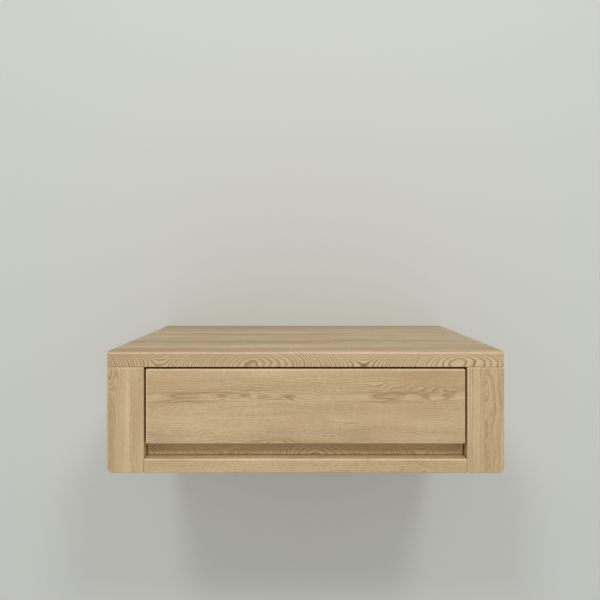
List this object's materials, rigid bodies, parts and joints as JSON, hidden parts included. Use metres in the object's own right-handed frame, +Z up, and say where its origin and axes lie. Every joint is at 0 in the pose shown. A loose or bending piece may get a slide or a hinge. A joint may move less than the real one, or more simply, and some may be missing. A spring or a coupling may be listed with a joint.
{
  "type": "floating nightstand",
  "caption": "Wall-hung oak nightstand with a flush drawer on ball-bearing slides, a finger recess below the drawer and bevelled hanging rails at the back.",
  "frame": {"origin": "middle of the wall rail's back face, on the wall", "axes": "+X to the right for someone facing the drawer, +Y into the wall, +Z up; the drawer opens along -Y"},
  "size_m": [0.5, 0.4, 0.1539],
  "materials": {
    "oak": "pale solid oak, satin oil finish",
    "birch": "pale birch boards and plywood, thin matt lacquer",
    "pine_rail": "planed softwood, raw",
    "beech_dowel": "turned beech, raw",
    "zinc_steel": "bright zinc-plated sheet steel",
    "cage_steel": "plain rolled steel with polished balls",
    "screw_steel": "yellow-tinged zinc plating"
  },
  "bodies": {
    "cabinet": {"top_panel": "oak", "left_side": "oak", "right_side": "oak", "bottom_panel": "oak", "back_panel": "birch", "cabinet_rail": "pine_rail", "wall_rail": "pine_rail", "left_slide_cabinet_member": "zinc_steel", "right_slide_cabinet_member": "zinc_steel", "left_top_dowel_1": "beech_dowel", "left_top_dowel_2": "beech_dowel", "left_top_dowel_3": "beech_dowel", "left_bottom_dowel_1": "beech_dowel", "left_bottom_dowel_2": "beech_dowel", "left_bottom_dowel_3": "beech_dowel", "left_rail_dowel_1": "beech_dowel", "left_rail_dowel_2": "beech_dowel", "right_top_dowel_1": "beech_dowel", "right_top_dowel_2": "beech_dowel", "right_top_dowel_3": "beech_dowel", "right_bottom_dowel_1": "beech_dowel", "right_bottom_dowel_2": "beech_dowel", "right_bottom_dowel_3": "beech_dowel", "right_rail_dowel_1": "beech_dowel", "right_rail_dowel_2": "beech_dowel", "left_cabinet_slide_screw_1": "screw_steel", "left_cabinet_slide_screw_2": "screw_steel", "left_cabinet_slide_screw_3": "screw_steel", "right_cabinet_slide_screw_1": "screw_steel", "right_cabinet_slide_screw_2": "screw_steel", "right_cabinet_slide_screw_3": "screw_steel"},
    "drawer": {"drawer_front": "oak", "drawer_box_front": "oak", "drawer_left_side": "birch", "drawer_right_side": "birch", "drawer_back": "birch", "drawer_bottom": "birch", "left_slide_drawer_member": "zinc_steel", "right_slide_drawer_member": "zinc_steel", "drawer_front_screw_1": "screw_steel", "drawer_front_screw_2": "screw_steel", "drawer_front_screw_3": "screw_steel", "drawer_front_screw_4": "screw_steel", "left_drawer_slide_screw_1": "screw_steel", "left_drawer_slide_screw_2": "screw_steel", "right_drawer_slide_screw_1": "screw_steel", "right_drawer_slide_screw_2": "screw_steel"},
    "left_middle_member": {"left_slide_middle_member": "zinc_steel"},
    "left_outer_balls": {"left_slide_outer_ball_cage": "cage_steel"},
    "left_inner_balls": {"left_slide_inner_ball_cage": "cage_steel"},
    "right_middle_member": {"right_slide_middle_member": "zinc_steel"},
    "right_outer_balls": {"right_slide_outer_ball_cage": "cage_steel"},
    "right_inner_balls": {"right_slide_inner_ball_cage": "cage_steel"}
  },
  "joints": [
    {"name": "drawer_slide", "type": "slide", "parent": "cabinet", "child": "drawer", "axis": [0, -1, 0], "range_m": [0, 0.3]},
    {"name": "left_middle_member_slide", "type": "slide", "parent": "cabinet", "child": "left_middle_member", "axis": [0, -1, 0], "range_m": [0, 0.15]},
    {"name": "left_outer_balls_slide", "type": "slide", "parent": "cabinet", "child": "left_outer_balls", "axis": [0, -1, 0], "range_m": [0, 0.075]},
    {"name": "left_inner_balls_slide", "type": "slide", "parent": "cabinet", "child": "left_inner_balls", "axis": [0, -1, 0], "range_m": [0, 0.225]},
    {"name": "right_middle_member_slide", "type": "slide", "parent": "cabinet", "child": "right_middle_member", "axis": [0, -1, 0], "range_m": [0, 0.15]},
    {"name": "right_outer_balls_slide", "type": "slide", "parent": "cabinet", "child": "right_outer_balls", "axis": [0, -1, 0], "range_m": [0, 0.075]},
    {"name": "right_inner_balls_slide", "type": "slide", "parent": "cabinet", "child": "right_inner_balls", "axis": [0, -1, 0], "range_m": [0, 0.225]}
  ],
  "couplings": [
    {"joint": "left_middle_member_slide", "follows": "drawer_slide", "ratio": 0.5},
    {"joint": "left_outer_balls_slide", "follows": "drawer_slide", "ratio": 0.25},
    {"joint": "left_inner_balls_slide", "follows": "drawer_slide", "ratio": 0.75},
    {"joint": "right_middle_member_slide", "follows": "drawer_slide", "ratio": 0.5},
    {"joint": "right_outer_balls_slide", "follows": "drawer_slide", "ratio": 0.25},
    {"joint": "right_inner_balls_slide", "follows": "drawer_slide", "ratio": 0.75}
  ]
}
